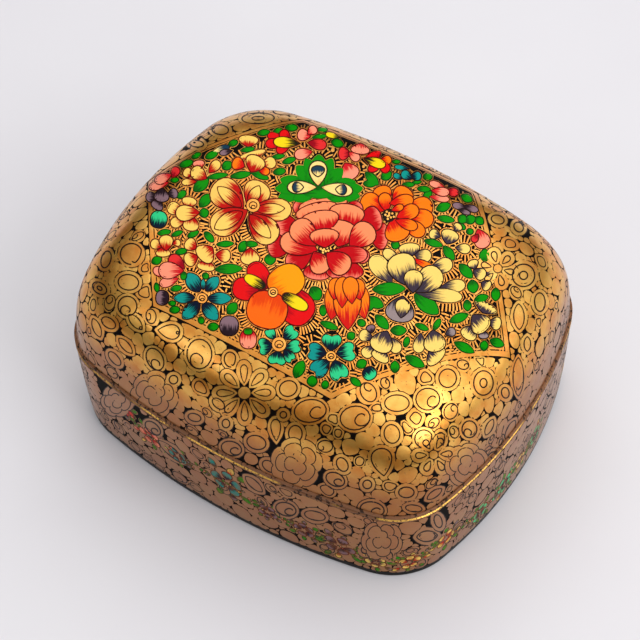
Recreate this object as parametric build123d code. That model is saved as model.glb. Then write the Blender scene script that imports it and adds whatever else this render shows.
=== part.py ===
"""Lift-off lacquered papier-mache box, in millimetres.

The box has a cushion-shaped plan: four bowed sides joined by round corners. A moulded wall stands on a
flat pressed-paper board, and a domed lid drops over a strip collar glued inside the wall. Narrow paper
bands close the two sawn edges that meet at the seam.

Frame: +X along the length, +Z up, origin on the table under the middle of the box.
"""

from build123d import *
import os
from collections import namedtuple
from math import asin, atan, cos, hypot, radians, sin, sqrt, tan

# Overall sizes
box_length = 126.0  # along X, at the seam
box_width = 103.5  # along Y, at the seam
box_height = 66.0  # table to the crown of the lid
seam_height = 30.8  # table to the top of the base's rim
seam_gap = 0.3  # paint line between the two rims

# Plan shape at the seam, and where the wall meets the board
long_side_radius = 206.0
short_side_radius = 124.0
corner_radius = 17.5
foot_corner_radius = 20.0
foot_inset = 0.8  # how far the wall draws in between seam and board

# Base wall and bottom board
base_wall_thickness = 3.0
cove_radius = 3.0  # paste fillet inside, between wall and floor
board_thickness = 2.4
board_inset = 0.15  # board's edge behind the wall's foot
board_edge_round = 0.8

# Paper bands on the sawn edges
band_height = 1.2
band_proud = 0.2  # band stands out of the wall
band_ease = 0.3  # eased outer edges

# Collar strip that locates the lid
collar_thickness = 1.6
collar_rise = 5.0  # above the base's rim
collar_seat = 9.0  # glued below the base's rim
collar_chamfer = 0.7
collar_joint_gap = 0.5  # butt joint of the strip, at the back
glue_gap = 0.12
lid_clearance = 0.4  # lid's mouth round the collar, each side

# Lid shell
lid_wall_thickness = 3.0
lid_lean = 6.0  # degrees that the side leans in above the seam
shoulder_radius = 23.0
crown_rise = 3.0  # top of the shoulder up to the crown
shoulder_corner_radius = 26.0  # in plan, where the shoulder meets the crown

# How finely the moulded surfaces are lofted
wall_steps = 3
side_steps = 2
shoulder_steps = 5
crown_shares = (0.7, 0.4, 0.15)

Plan = namedtuple("Plan", "half_length half_width long_radius short_radius corner")
seam_plan = Plan(box_length / 2, box_width / 2, long_side_radius, short_side_radius, corner_radius)


def inset_plan(plan, distance, corner_inset=None):
    """The plan moved inwards. The corners shrink with it unless corner_inset says how much."""
    shrink = distance if corner_inset is None else corner_inset
    return Plan(
        plan.half_length - distance,
        plan.half_width - distance,
        plan.long_radius - distance,
        plan.short_radius - distance,
        plan.corner - shrink,
    )


def scaled_plan(plan, share):
    return Plan(*(size * share for size in plan))


def point_on(centre, radius, towards):
    """The point on a circle in the direction of another point."""
    dx, dy = towards[0] - centre[0], towards[1] - centre[1]
    length = hypot(dx, dy)
    return (centre[0] + radius * dx / length, centre[1] + radius * dy / length)


def corner_points(plan):
    """Start, middle and end of the corner arc in the +X +Y quarter, where it meets the sides' arcs."""
    long_centre = (0.0, plan.half_width - plan.long_radius)
    short_centre = (plan.half_length - plan.short_radius, 0.0)
    from_long = plan.long_radius - plan.corner
    from_short = plan.short_radius - plan.corner
    dx, dy = short_centre[0] - long_centre[0], short_centre[1] - long_centre[1]
    apart = hypot(dx, dy)
    along = (apart**2 + from_long**2 - from_short**2) / (2 * apart)
    across = sqrt(from_long**2 - along**2)
    centre = (
        long_centre[0] + (dx * along + dy * across) / apart,
        long_centre[1] + (dy * along - dx * across) / apart,
    )
    on_short = point_on(short_centre, plan.short_radius, centre)
    on_long = point_on(long_centre, plan.long_radius, centre)
    chord_middle = ((on_short[0] + on_long[0]) / 2, (on_short[1] + on_long[1]) / 2)
    return on_short, point_on(centre, plan.corner, chord_middle), on_long


def outline(plan, height):
    """Face bounded by the plan's eight tangent arcs, at a height."""
    corners = []
    for x_sign, y_sign in ((1, 1), (-1, 1), (-1, -1), (1, -1)):
        corner = [(x * x_sign, y * y_sign) for x, y in corner_points(plan)]
        corners.append(corner if x_sign == y_sign else corner[::-1])
    middles = [(0, plan.half_width), (-plan.half_length, 0), (0, -plan.half_width), (plan.half_length, 0)]
    arcs = []
    for corner, middle, following in zip(corners, middles, corners[1:] + corners[:1]):
        arcs.append(ThreePointArc(*corner))
        arcs.append(ThreePointArc(corner[-1], middle, following[0]))
    return Pos(0, 0, height) * make_face(Wire(arcs))


def block(plan, bottom, top):
    """Straight-sided solid of a plan between two heights."""
    return extrude(outline(plan, bottom), top - bottom)


def base_plan(height):
    """Plan of the base wall's outer face at a height."""
    share = (height - board_thickness) / (seam_height - board_thickness)
    corner = foot_corner_radius + (corner_radius - foot_corner_radius) * share
    return inset_plan(seam_plan._replace(corner=corner), foot_inset * (1 - share) ** 2, corner_inset=0)


def make_bottom_board():
    plan = inset_plan(base_plan(board_thickness), board_inset)
    board = block(plan, 0, board_thickness)
    return fillet(board.edges().group_by(Axis.Z)[0], board_edge_round)


def hollow_plan():
    """Plan of the base's straight inner face, a full wall's thickness inside the foot."""
    return inset_plan(base_plan(board_thickness), base_wall_thickness)


def make_base_wall():
    top = seam_height - band_height
    heights = [board_thickness + (top - board_thickness) * n / wall_steps for n in range(wall_steps + 1)]
    outside = loft([outline(base_plan(z), z) for z in heights])
    hollow = block(hollow_plan(), board_thickness, top)
    return outside - fillet(hollow.edges().group_by(Axis.Z)[0], cove_radius)


def rim_band(inner, bottom):
    """Band that closes a sawn edge, from the inner plan to just proud of the wall, its edges eased."""
    band = block(inset_plan(seam_plan, -band_proud), bottom, bottom + band_height)
    band = chamfer(band.edges().filter_by(GeomType.CIRCLE), band_ease)
    return band - block(inner, bottom, bottom + band_height)


def collar_plan():
    """Outer plan of the collar, just clear of the base's inner face."""
    return inset_plan(hollow_plan(), glue_gap)


def make_collar_strip():
    bottom, top = seam_height - collar_seat, seam_height + collar_rise
    outer = collar_plan()
    inner = inset_plan(outer, collar_thickness)
    strip = block(outer, bottom, top)
    strip = chamfer(strip.edges().group_by(Axis.Z)[-1], collar_chamfer)
    strip -= block(inner, bottom, top)
    joint = Box(collar_joint_gap, 4 * collar_thickness, 2 * (top - bottom))
    return strip - Pos(0, outer.half_width, top) * joint


def lid_plan(inset, turn, lean, depth):
    """Plan of the lid `inset` within the seam, where its face has turned from upright, `depth` inside."""
    growth = (sin(turn) - sin(lean)) / (1 - sin(lean))
    corner = corner_radius + (shoulder_corner_radius - corner_radius) * growth
    return inset_plan(seam_plan._replace(corner=corner), inset + depth, corner_inset=depth)


def lid_profile(depth):
    """Sections (height, plan) of the lid's side and shoulder, then of its crown, `depth` inside its face."""
    rim = seam_height + seam_gap
    mean_half = (box_length + box_width) / 4
    slope = atan(2 * crown_rise / (mean_half - shoulder_radius))
    centre_height = box_height - crown_rise - shoulder_radius * cos(slope)
    # On a shallow lid the rim cuts the shoulder's arc, and the side starts at the arc's own lean.
    lean = asin(max(sin(radians(lid_lean)), (rim - centre_height) / shoulder_radius))
    centre_inset = shoulder_radius / cos(lean) + (centre_height - rim) * tan(lean)
    radius = shoulder_radius - depth
    side_bottom = rim + band_height
    side_top = max(side_bottom, centre_height + radius * sin(lean))
    shoulder_start = asin((side_top - centre_height) / radius)
    side = []
    for n in range(side_steps if side_top > side_bottom else 0):
        height = side_bottom + (side_top - side_bottom) * n / side_steps
        side.append((height, lid_plan((height - rim) * tan(lean), lean, lean, depth / cos(lean))))
    for n in range(shoulder_steps + 1):
        turn = shoulder_start + (radians(90) - slope - shoulder_start) * n / shoulder_steps
        plan = lid_plan(centre_inset - shoulder_radius * cos(turn), turn, lean, depth * cos(turn))
        side.append((centre_height + radius * sin(turn), plan))
    shoulder_top, shoulder_plan = side[-1]
    crown = [side[-1]]
    for share in crown_shares:
        drop = (box_height - depth - shoulder_top) * share**2
        crown.append((box_height - depth - drop, scaled_plan(shoulder_plan, share)))
    return side, crown


def lid_mouth():
    """Space that the collar needs inside the lid's rim."""
    plan = inset_plan(collar_plan(), -lid_clearance)
    return block(plan, seam_height, seam_height + collar_rise + lid_clearance)


def lid_form(depth):
    """Solid of the lid's whole form, `depth` inside its outer face."""
    side, crown = (loft([outline(plan, z) for z, plan in part]) for part in lid_profile(depth))
    return side + crown


def make_lid_shell():
    return lid_form(0) - lid_form(lid_wall_thickness) - lid_mouth()


def main():
    nodes = {
        "bottom_board": make_bottom_board(),
        "base_wall": make_base_wall(),
        "base_rim_band": rim_band(hollow_plan(), seam_height - band_height),
        "collar_strip": make_collar_strip(),
        "lid_rim_band": rim_band(inset_plan(collar_plan(), -lid_clearance), seam_height + seam_gap),
        "lid_shell": make_lid_shell(),
    }
    os.makedirs("parts", exist_ok=True)
    for name, solid in nodes.items():
        export_step(solid, f"parts/{name}.step")


main()
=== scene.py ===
import math
import random
from bisect import bisect_left
from itertools import accumulate

import bmesh
import bpy
from mathutils import Matrix, Vector
from mathutils.bvhtree import BVHTree
from mathutils.interpolate import poly_3d_calc


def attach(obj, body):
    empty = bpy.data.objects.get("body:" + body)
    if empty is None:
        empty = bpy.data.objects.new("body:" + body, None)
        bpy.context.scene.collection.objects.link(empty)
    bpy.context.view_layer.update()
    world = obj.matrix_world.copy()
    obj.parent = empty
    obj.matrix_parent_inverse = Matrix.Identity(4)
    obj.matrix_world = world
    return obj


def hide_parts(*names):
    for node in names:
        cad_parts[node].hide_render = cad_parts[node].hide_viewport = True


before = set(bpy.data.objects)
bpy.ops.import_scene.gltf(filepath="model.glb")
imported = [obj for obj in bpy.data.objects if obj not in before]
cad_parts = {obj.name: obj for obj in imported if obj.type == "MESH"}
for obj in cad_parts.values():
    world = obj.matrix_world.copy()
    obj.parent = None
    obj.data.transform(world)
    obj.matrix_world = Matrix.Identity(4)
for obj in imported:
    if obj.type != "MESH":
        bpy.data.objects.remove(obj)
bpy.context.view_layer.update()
mm = 0.001
upward = Vector((0, 0, 1))
aloft = 0.2  # a height well above the box
print("frame loaded")


# ---- camera ----
cameraView = {
    "target": (0, 0, 0.025),
    "azimuth": 33.57,
    "elevation": 53.42,
    "roll": -1.56,
    "distance": 0.6094,
    "lensPixels": 2197.7,
    "side": 640,  # pixels
    "centre": (324.14, 333.12),  # where the lens axis meets the view, in pixels
    "boxMiddle": (324, 320),
    "sensor": 36,
}


def cameraAxes():
    azimuth, elevation, roll = (math.radians(cameraView[k]) for k in ("azimuth", "elevation", "roll"))
    level = math.cos(elevation)
    back = Vector((math.sin(azimuth) * level, -math.cos(azimuth) * level, math.sin(elevation)))
    right = Vector((math.cos(azimuth), math.sin(azimuth), 0))
    up = back.cross(right)
    turnedRight = right * math.cos(roll) + up * math.sin(roll)
    turnedUp = up * math.cos(roll) - right * math.sin(roll)
    return turnedRight, turnedUp, back


def makeCamera():
    right, up, back = cameraAxes()
    lens = bpy.data.cameras.new("boxCamera")
    side = cameraView["side"]
    lens.sensor_width = cameraView["sensor"]
    lens.lens = cameraView["lensPixels"] * cameraView["sensor"] / side
    lens.shift_x = (side / 2 - cameraView["centre"][0]) / side
    lens.shift_y = (cameraView["centre"][1] - side / 2) / side
    lens.clip_start = 0.01
    camera = bpy.data.objects.new("boxCamera", lens)
    turn = Matrix((right, up, back)).transposed().to_4x4()
    place = Vector(cameraView["target"]) + back * cameraView["distance"]
    camera.matrix_world = Matrix.Translation(place) @ turn
    bpy.context.scene.collection.objects.link(camera)
    bpy.context.scene.camera = camera
    return place


cameraPlace = makeCamera()


# ---- shader helpers ----
class Shade:
    # a socket that takes part in sums, so that masks read as plain expressions
    def __init__(self, tree, socket):
        self.tree = tree
        self.socket = socket

    def joined(self, operation, first, second):
        node = self.tree.nodes.new("ShaderNodeMath")
        node.operation = operation
        for socket, value in zip(node.inputs, (first, second)):
            feed(self.tree, socket, value)
        return Shade(self.tree, node.outputs[0])

    def __add__(self, other):
        return self.joined("ADD", self, other)

    def __sub__(self, other):
        return self.joined("SUBTRACT", self, other)

    def __rsub__(self, other):
        return self.joined("SUBTRACT", other, self)

    def __mul__(self, other):
        return self.joined("MULTIPLY", self, other)


def feed(tree, socket, value):
    if isinstance(value, Shade):
        tree.links.new(value.socket, socket)
    else:
        socket.default_value = value


class Finish:
    # one material: a Principled shader and whatever feeds it
    def __init__(self, name, **settings):
        self.material = bpy.data.materials.new(name)
        self.material.use_nodes = True
        self.tree = self.material.node_tree
        self.shader = self.tree.nodes["Principled BSDF"]
        for socket, value in settings.items():
            self.shader.inputs[socket.replace("_", " ")].default_value = value

    def node(self, kind, settings=None, inputs=None, output=0):
        node = self.tree.nodes.new(kind)
        for name, value in (settings or {}).items():
            setattr(node, name, value)
        for name, value in (inputs or {}).items():
            feed(self.tree, node.inputs[name], value)
        return Shade(self.tree, node.outputs[output])

    def place(self):
        return self.node("ShaderNodeTexCoord", output="Object")

    def noise(self, scale, detail=2.0, stretch=None):
        spot = self.place()
        if stretch:
            spot = self.node("ShaderNodeMapping", inputs={"Vector": spot, "Scale": stretch})
        inputs = {"Vector": spot, "Scale": scale, "Detail": detail}
        return self.node("ShaderNodeTexNoise", inputs=inputs)

    def step(self, value, low, high):
        settings = {"interpolation_type": "SMOOTHSTEP", "clamp": True}
        inputs = {"Value": value, "From Min": low, "From Max": high}
        return self.node("ShaderNodeMapRange", settings, inputs)

    def mix(self, factor, first, second):
        inputs = {0: factor, 6: first, 7: second}
        return self.node("ShaderNodeMix", {"data_type": "RGBA"}, inputs, output=2)

    def read(self, name, output="Color"):
        return self.node("ShaderNodeAttribute", {"attribute_name": name}, output=output)

    def parts(self, vector):
        node = self.tree.nodes.new("ShaderNodeSeparateXYZ")
        feed(self.tree, node.inputs[0], vector)
        return [Shade(self.tree, output) for output in node.outputs]

    def emboss(self, height, strength, distance):
        inputs = {"Height": height, "Strength": strength, "Distance": distance}
        self.give(Normal=self.node("ShaderNodeBump", inputs=inputs))

    def give(self, **sockets):
        for socket, value in sockets.items():
            feed(self.tree, self.shader.inputs[socket.replace("_", " ")], value)


def rgb(red, green, blue):
    # a colour in parts of 255, for a shader socket
    def linear(part):
        part /= 255
        return part / 12.92 if part <= 0.04045 else ((part + 0.055) / 1.055) ** 2.4

    return (linear(red), linear(green), linear(blue), 1)


# ---- stage and light ----
stageLook = {
    "floorSize": 6.0,
    "floorColour": rgb(225, 223, 225),
    "floorShade": rgb(216, 212, 216),
    "skyColour": rgb(238, 238, 242),
    "duskColour": rgb(20, 18, 17),  # the dim far side of the room, near the horizon
    "skyStrength": 0.78,
    "skyTilt": (0.12, 0.12, 0.985),  # the brightest part of the sky
    "duskEnds": (0.24, 0.54),  # heights on the sky, from 0 at the horizon to 1 overhead
    "lamps": {
        # place in metres, what it is aimed at, width, height, watts
        "backSoftbox": ((-0.42, 0.62, 0.95), (0, 0, 0.03), 0.95, 0.8, 2.0),
        "topSoftbox": ((0.1, 0.2, 1.05), (0, 0, 0.03), 1.5, 1.3, 4.5),
        "leftLamp": ((-0.52, -0.84, 0.62), (0, 0, 0.05), 0.36, 0.24, 0.7),
        "rightLamp": ((0.95, -0.12, 0.8), (0, 0, 0.05), 0.7, 0.55, 4.8),
        "sideSoftbox": ((1.03, 0.5, 0.37), (0, 0, 0.05), 0.6, 0.3, 1.0),
    },
}


def makeStage():
    bm = bmesh.new()
    bmesh.ops.create_grid(bm, x_segments=1, y_segments=1, size=stageLook["floorSize"] / 2)
    mesh = bpy.data.meshes.new("floor")
    bm.to_mesh(mesh)
    bm.free()
    floor = bpy.data.objects.new("floor", mesh)
    bpy.context.scene.collection.objects.link(floor)
    look = Finish("paleTable", Roughness=0.55, Specular_IOR_Level=0.3)
    cloud = look.step(look.noise(9, 3), 0.3, 0.75)
    look.give(Base_Color=look.mix(cloud * 0.35, stageLook["floorColour"], stageLook["floorShade"]))
    mesh.materials.append(look.material)


def makeLamp(name, place, target, width, height, watts):
    light = bpy.data.lights.new(name, "AREA")
    light.shape = "RECTANGLE"
    light.size, light.size_y, light.energy = width, height, watts
    lamp = bpy.data.objects.new(name, light)
    lamp.rotation_euler = (Vector(target) - Vector(place)).to_track_quat("-Z", "Y").to_euler()
    lamp.location = place
    bpy.context.scene.collection.objects.link(lamp)


def makeLight():
    world = bpy.data.worlds.new("studio")
    world.use_nodes = True
    tree = world.node_tree
    ground = tree.nodes["Background"]
    ways = tree.nodes.new("ShaderNodeTexCoord")
    towards = tree.nodes.new("ShaderNodeVectorMath")
    towards.operation = "DOT_PRODUCT"
    towards.inputs[1].default_value = stageLook["skyTilt"]
    ramp = tree.nodes.new("ShaderNodeValToRGB")
    tree.links.new(ways.outputs["Generated"], towards.inputs[0])
    tree.links.new(towards.outputs["Value"], ramp.inputs["Fac"])
    tree.links.new(ramp.outputs["Color"], ground.inputs["Color"])
    ramp.color_ramp.interpolation = "EASE"
    ramp.color_ramp.elements[0].position = stageLook["duskEnds"][0]
    ramp.color_ramp.elements[0].color = stageLook["duskColour"]
    ramp.color_ramp.elements[1].position = stageLook["duskEnds"][1]
    ramp.color_ramp.elements[1].color = stageLook["skyColour"]
    ground.inputs["Strength"].default_value = stageLook["skyStrength"]
    bpy.context.scene.world = world
    for name, lamp in stageLook["lamps"].items():
        makeLamp(name, *lamp)
    bpy.context.scene.view_settings.view_transform = "Standard"


makeStage()
makeLight()
print("camera, stage and light made")


# ---- the lacquered skin that all paint lies on ----
paintDepth = 0.28 * mm  # how far the lid's black lacquer lies under the frame's face, to leave room for paint


class Skin:
    # the outer face of one frame node
    def __init__(self, node, body, sunk, bottom):
        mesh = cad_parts[node].data
        middle = Vector((0, 0, 30 * mm))
        self.body, self.sunk = body, sunk
        self.corners, self.bends, self.areas = [], [], []
        normals = mesh.corner_normals
        for face in mesh.polygons:
            if face.normal.dot((face.center - middle).normalized()) < 0.2 or face.center.z < bottom:
                continue
            self.corners.append([mesh.vertices[v].co.copy() for v in face.vertices])
            self.bends.append([normals[loop].vector.copy() for loop in face.loop_indices])
            self.areas.append(face.area)
        points = [corner for face in self.corners for corner in face]
        faces = [(3 * n, 3 * n + 1, 3 * n + 2) for n in range(len(self.corners))]
        self.tree = BVHTree.FromPolygons(points, faces)

    def facing(self, spot, index):
        shares = poly_3d_calc(self.corners[index], spot)
        normal = Vector()
        for bend, share in zip(self.bends[index], shares):
            normal += bend * share
        return normal.normalized()

    def under(self, point, lift):
        # the nearest place on the skin, raised by lift, and the way it faces
        spot, flat, index, away = self.tree.find_nearest(point)
        normal = self.facing(spot, index)
        return spot + normal * (lift - self.sunk), normal

    def struck(self, direction):
        spot, flat, index, away = self.tree.ray_cast(cameraPlace, direction)
        if spot is None:
            return None
        return spot, self.facing(spot, index), away


lidSkin = Skin("lid_shell", "lid", paintDepth, 32.35 * mm)
baseSkin = Skin("base_wall", "base", 0, 2.4 * mm)


def viewRay(x, y):
    right, up, back = cameraAxes()
    lens = cameraView["lensPixels"]
    centreX, centreY = cameraView["centre"]
    return (right * ((x - centreX) / lens) - up * ((y - centreY) / lens) - back).normalized()


def seenAt(x, y):
    # which skin shows at a place in the view, where, and its facing
    found = []
    for skin in (lidSkin, baseSkin):
        hit = skin.struck(viewRay(x, y))
        if hit:
            found.append((hit[2], skin, hit[0], hit[1]))
    return min(found, key=lambda one: one[0])[1:] if found else None


def nearestSeen(x, y):
    # the same, or from the first place towards the box's middle where skin shows
    middleX, middleY = cameraView["boxMiddle"]
    found = seenAt(x, y)
    while not found:
        x, y = x + (middleX - x) * 0.01, y + (middleY - y) * 0.01
        found = seenAt(x, y)
    return found


class Canvas:
    # a patch of skin to draw on: flat coordinates in, raised places on the skin out
    def __init__(self, skin, centre, along, normal):
        self.skin, self.centre = skin, centre
        self.across = normal.cross(along).normalized()
        self.along = self.across.cross(normal).normalized()

    def at(self, x, y, lift):
        return self.skin.under(self.centre + self.along * x + self.across * y, lift)


class ViewCanvas:
    # the same, for coordinates in pixels of the view
    def __init__(self, x, y):
        self.skin, self.centre, self.normal = nearestSeen(x, y)

    def at(self, x, y, lift):
        ray = viewRay(x, y)
        hit = self.skin.struck(ray)
        if hit and (hit[0] - self.centre).length < 90 * mm:
            return hit[0] + hit[1] * (lift - self.skin.sunk), hit[1]
        reach = (self.centre - cameraPlace).dot(self.normal) / ray.dot(self.normal)
        return self.skin.under(cameraPlace + ray * reach, lift)


# ---- brush marks, made once and stamped many times ----
def makeMark(segments, rings):
    bm = bmesh.new()
    bmesh.ops.create_circle(bm, cap_ends=True, segments=segments, radius=1)
    bm.faces.ensure_lookup_table()
    middle = bm.faces[0]
    for n in range(rings - 1):
        bmesh.ops.inset_individual(bm, faces=[middle], thickness=1 / rings, use_even_offset=True)
    bmesh.ops.poke(bm, faces=[middle])
    return markMesh(bm, "mark")


def makeLine(segments):
    # from (0, -1) to (1, 1)
    bm = bmesh.new()
    bmesh.ops.create_grid(bm, x_segments=segments, y_segments=1, size=1)
    bmesh.ops.translate(bm, vec=(1, 0, 0), verts=bm.verts)
    bmesh.ops.scale(bm, vec=(0.5, 1, 1), verts=bm.verts)
    return markMesh(bm, "line")


def makeRing(segments):
    # a flat ring from radius 0.5 to 1
    bm = bmesh.new()
    bmesh.ops.create_circle(bm, cap_ends=True, segments=segments, radius=1)
    bm.faces.ensure_lookup_table()
    middle = bm.faces[0]
    bmesh.ops.inset_individual(bm, faces=[middle], thickness=0.5, use_even_offset=True)
    bmesh.ops.delete(bm, geom=[middle], context="FACES_ONLY")
    return markMesh(bm, "ring")


def markMesh(bm, name):
    bmesh.ops.triangulate(bm, faces=bm.faces)
    mesh = bpy.data.meshes.new(name)
    bm.to_mesh(mesh)
    bm.free()
    return mesh


marks = {
    "petal": makeMark(20, 3),
    "blob": makeMark(16, 2),
    "dab": makeMark(12, 1),
    "loop": makeRing(26),
    "curl": makeLine(34),
    "dash": makeLine(2),
    "long": makeLine(90),
}


class Sheet:
    # one painted piece: many small marks on one skin
    def __init__(self, name, skin, finish, slot):
        self.name, self.skin, self.finish, self.slot = name, skin, finish, slot
        self.jobs = []

    def stamp(self, mark, place, light=(0, 0, 0), dark=(0, 0, 0)):
        # place(x, y) gives a raised point, its facing and the stroke's three values
        self.jobs.append((marks[mark], place, light, dark, random.random()))

    def make(self):
        bm = bmesh.new()
        lightLayer = bm.verts.layers.float_color.new("lightPaint")
        darkLayer = bm.verts.layers.float_color.new("darkPaint")
        strokeLayer = bm.verts.layers.float_vector.new("stroke")
        for job in self.jobs:
            bm.from_mesh(job[0])
        verts = iter(bm.verts)
        facings = []
        for mark, place, light, dark, seed in self.jobs:
            light, dark = (*light[:3], seed), (*dark[:3], 1)
            for n in range(len(mark.vertices)):
                vert = next(verts)
                vert.co, facing, vert[strokeLayer] = place(vert.co.x, vert.co.y)
                vert[lightLayer], vert[darkLayer] = light, dark
                facings.append(facing)
        bm.verts.index_update()
        bm.normal_update()
        turned = [face for face in bm.faces if face.normal.dot(facings[face.verts[0].index]) < 0]
        bmesh.ops.reverse_faces(bm, faces=turned)
        for face in bm.faces:
            face.smooth = True
        mesh = bpy.data.meshes.new(self.name)
        bm.to_mesh(mesh)
        bm.free()
        mesh.normals_split_custom_set_from_vertices(facings)
        mesh.materials.append(self.finish.material)
        piece = bpy.data.objects.new(self.name, mesh)
        bpy.context.scene.collection.objects.link(piece)
        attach(piece, self.skin.body)
        print(self.name, "marks", len(self.jobs), "triangles", len(mesh.polygons))


# ---- finishes ----
lacquerLook = {"colour": rgb(14, 10, 8), "worn": rgb(34, 24, 18), "roughness": 0.25}
goldLook = {
    "pale": rgb(255, 200, 98),
    "deep": rgb(228, 142, 48),
    # bronze: the painted shade low on the gold, a tone in the rim bands, and the worn and shaded patches of
    # the garland paint
    "bronze": rgb(146, 87, 44),
    "band": rgb(132, 94, 68),
    "fleck": rgb(128, 64, 26),
    "metal": 0.85,
}


def makeLacquer(name, rough=0.0, shine=0.1):
    look = Finish(name, Specular_IOR_Level=shine, Coat_Weight=shine * 0.6, Coat_Roughness=0.15)
    wear = look.step(look.noise(160, 4), 0.5, 0.8)
    grain = look.noise(900, 3)
    look.give(Base_Color=look.mix(wear * 0.6, lacquerLook["colour"], lacquerLook["worn"]))
    look.give(Roughness=grain * 0.15 + (lacquerLook["roughness"] + rough))
    look.emboss(look.noise(260, 3), 0.15, 0.0004)
    return look


def makeGold(name, lowShadeBronze=0.85, evenTone=0):
    # leaf and shell gold under varnish: every dab has its own tone, with small red-brown breaks, and painted
    # shade turns it darker bronze towards the bottom
    look = Finish(name, Coat_Weight=0.35, Coat_Roughness=0.13, Coat_IOR=1.4)
    tone, seed, rim = look.parts(look.read("stroke", "Vector"))
    height = look.parts(look.place())[2]
    cloud = look.noise(260, 3)
    shade = look.step(tone * 0.3 + cloud + evenTone, 0.25, 1.05)
    colour = look.mix(shade, goldLook["deep"], goldLook["pale"])
    breaks = look.step(look.noise(1500, 3, stretch=(1, 1.7, 1)), 0.63, 0.7)
    blotch = look.step(look.noise(420, 2), 0.45, 0.65)
    colour = look.mix(breaks * blotch * 0.75, colour, goldLook["fleck"])
    # painted shade: mixed toward bronze below 55 mm and fully from 37 mm down, so the base and the lid's
    # lower sides read darker
    low = look.step(height, 0.055, 0.037) * lowShadeBronze
    colour = look.mix(low, colour, goldLook["bronze"])
    look.give(Base_Color=colour, Metallic=goldLook["metal"] - breaks * blotch * 0.5)
    look.give(Roughness=look.noise(700, 2) * 0.12 + 0.27)
    look.emboss(look.noise(750, 3) + rim * -0.6, 0.25, 0.00012)
    return look


inkLook = {"colour": rgb(20, 10, 4), "faded": rgb(52, 28, 12)}


def makeInk():
    look = Finish("brushInk", Roughness=0.4, Specular_IOR_Level=0.1, Coat_Weight=0.05, Coat_Roughness=0.15)
    fade = look.step(look.noise(1400, 2), 0.35, 0.75)
    look.give(Base_Color=look.mix(fade, inkLook["colour"], inkLook["faded"]))
    return look


def makePaint(name, worn=0.0):
    # a petal's brushwork: short feathered hairs of the dark paint run out over the light one
    look = Finish(name, Specular_IOR_Level=0.03, Coat_Weight=0.06, Coat_Roughness=0.12, Coat_IOR=1.4)
    along, across, reach = look.parts(look.read("stroke", "Vector"))
    light = look.read("lightPaint")
    dark = look.read("darkPaint")
    seed = look.read("lightPaint", "Alpha")
    ways = {"X": across * 7 + seed * 91, "Y": along * 0.8, "Z": seed * 37}
    spot = look.node("ShaderNodeCombineXYZ", inputs=ways)
    hairs = look.node("ShaderNodeTexNoise", inputs={"Vector": spot, "Scale": 1.6, "Detail": 2.0})
    dry = look.noise(1100, 2)
    ragged = along + (hairs - 0.5) * (1.3 - along * 0.9) + (dry - 0.5) * 0.15
    feather = look.step(ragged, reach - 0.12, reach + 0.2)
    colour = look.mix(feather, dark, light)
    # patches mixed toward bronze, as far as worn asks: rubbed paint, and painted shade that darkens the
    # garland low on the base
    dim = look.step(look.noise(900, 3), 0.3, 0.7) * worn
    look.give(Base_Color=look.mix(dim, colour, goldLook["bronze"]), Roughness=dry * 0.12 + 0.3)
    look.emboss(hairs + dry * 0.5, 0.2, 0.0001)
    return look


finishes = {
    "lacquer": makeLacquer("blackLacquer"),
    "inside": makeLacquer("insideLacquer", 0.12, 0.25),
    "ground": makeLacquer("blackGround", 0.2, 0.02),
    "gold": makeGold("shellGold"),
    "line": makeGold("goldLine", 0.3, -0.3),
    "ink": makeInk(),
    "shadedWornPaint": makePaint("garlandPaint", 0.55),
    "paint": makePaint("petalPaint"),
}


rimLook = {
    "chip": rgb(30, 19, 11),  # where the band's gold is gone
    "seam": 30.95 * mm,
    "glintNone": 0.65 * mm,  # where the painted glint ends, from the seam, up or down
    "glintWhole": 0.35 * mm,
    "facing": (0.93, 0.8),  # how far a face looks up where it has no painted glint and where it has all of it
}


def makeRimGold():
    # the bands on the sawn edges: bronze with breaks, and here and there along the seam a pale, shinier gold:
    # a gold edge, with a painted glint where light catches it
    look = Finish("rimGold", Specular_IOR_Level=0.2)
    height = look.parts(look.place())[2]
    cloud = look.noise(260, 3)
    breaks = look.step(look.noise(900, 3, stretch=(1, 1, 0.7)), 0.55, 0.58)
    middle, none, whole = rimLook["seam"], rimLook["glintNone"], rimLook["glintWhole"]
    seam = look.step(height, middle - none, middle - whole) * look.step(height, middle + none, middle + whole)
    facing = look.parts(look.node("ShaderNodeNewGeometry", output="Normal"))[2]
    seam = seam * look.step(facing, *rimLook["facing"])
    # painted glint: pale, shinier gold in patches along the seam, on faces that don't look up
    glint = seam * look.step(look.noise(60, 2), 0.43, 0.5) * look.step(look.noise(1800, 2), 0.35, 0.5)
    colour = look.mix(cloud * 0.5, goldLook["band"], goldLook["bronze"])
    colour = look.mix(breaks * 0.9, colour, rimLook["chip"])
    look.give(Base_Color=look.mix(glint, colour, goldLook["pale"]))
    look.give(Metallic=glint * 0.6 + (0.25 - breaks * 0.25), Roughness=0.6 - glint * 0.3)
    look.emboss(look.noise(750, 3), 0.25, 0.00012)
    return look


def dressFrame():
    rim = makeRimGold()
    dress = {"base_wall": finishes["ground"], "bottom_board": finishes["lacquer"],
             "collar_strip": finishes["inside"], "base_rim_band": rim, "lid_rim_band": rim}
    for node, look in dress.items():
        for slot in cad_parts[node].material_slots:
            slot.material = look.material


lidLacquerLook = {
    "foot": 32.25 * mm,  # the shell is sunk above this height
    "touch": 0.02 * mm,  # what lies this near to its outer face is part of it
    "sharp": math.radians(35),
}


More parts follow.
